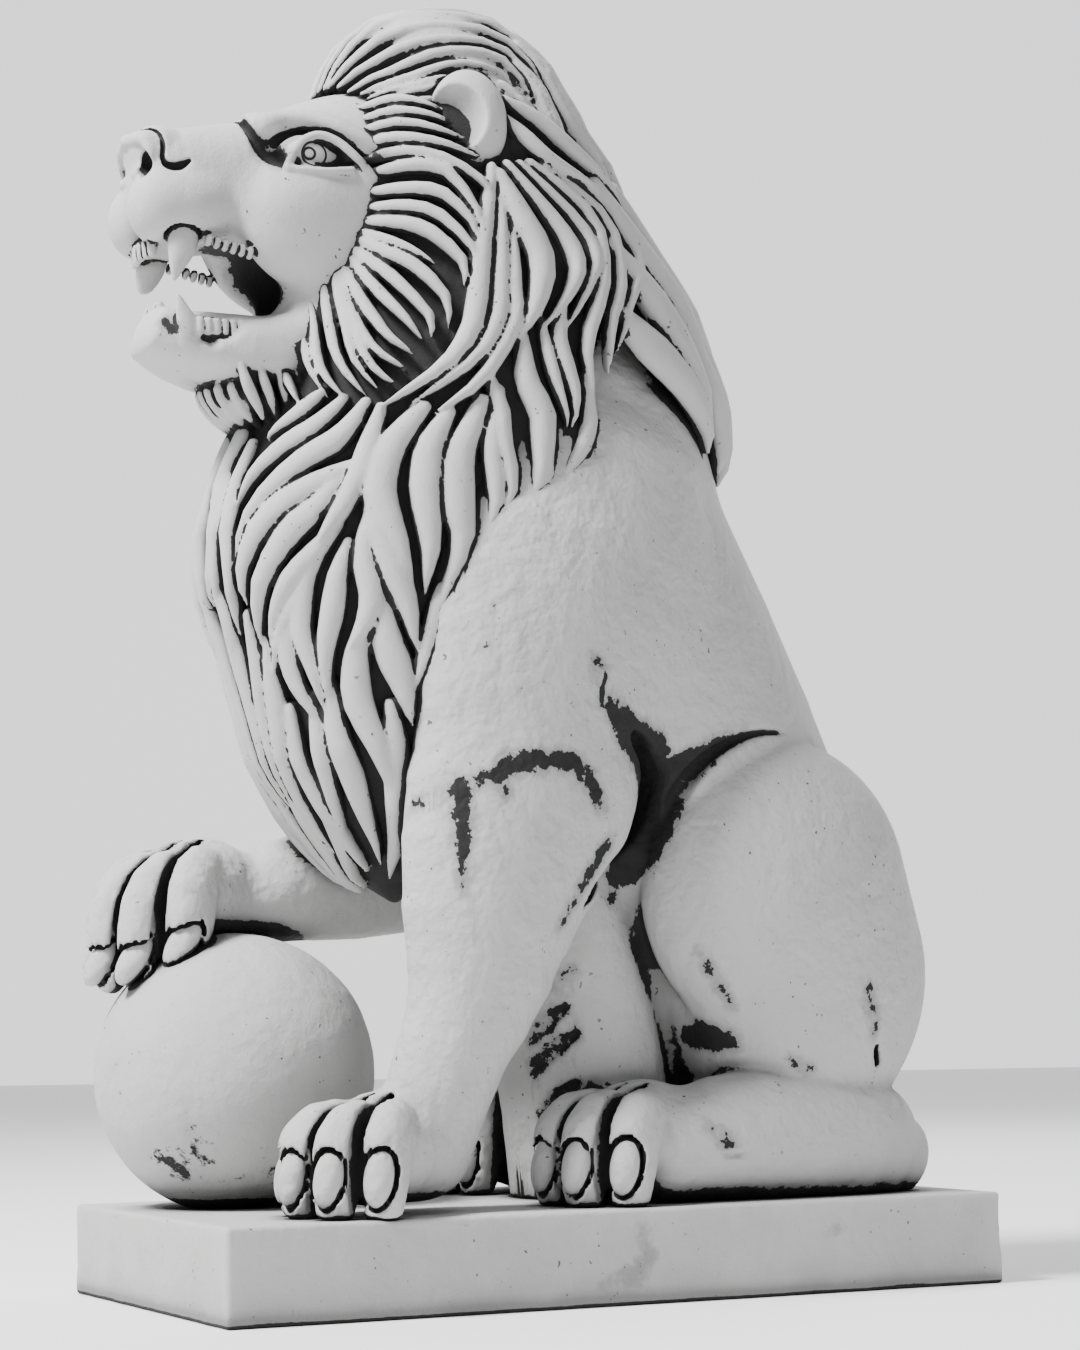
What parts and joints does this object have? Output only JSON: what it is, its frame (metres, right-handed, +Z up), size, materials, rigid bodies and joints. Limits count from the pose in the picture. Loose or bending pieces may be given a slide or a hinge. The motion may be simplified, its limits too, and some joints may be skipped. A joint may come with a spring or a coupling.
{
  "type": "lion statue",
  "caption": "Cast stone statue of a sitting lion with a full mane and open mouth, one forepaw resting on a ball, cast together with its rectangular plinth.",
  "frame": {"origin": "the centre of the plinth's underside", "axes": "+Z up, the lion looks along -Y, its left side is +X; the plinth is longest along Y"},
  "size_m": [0.3655, 0.6501, 0.9985],
  "materials": {
    "plinth": "weathered pale cast stone",
    "ball": "weathered pale cast stone",
    "lion": "pale cast stone with dark patina in the carving"
  },
  "bodies": {
    "root": {"plinth": "plinth", "ball": "ball", "lion": "lion"}
  },
  "joints": []
}
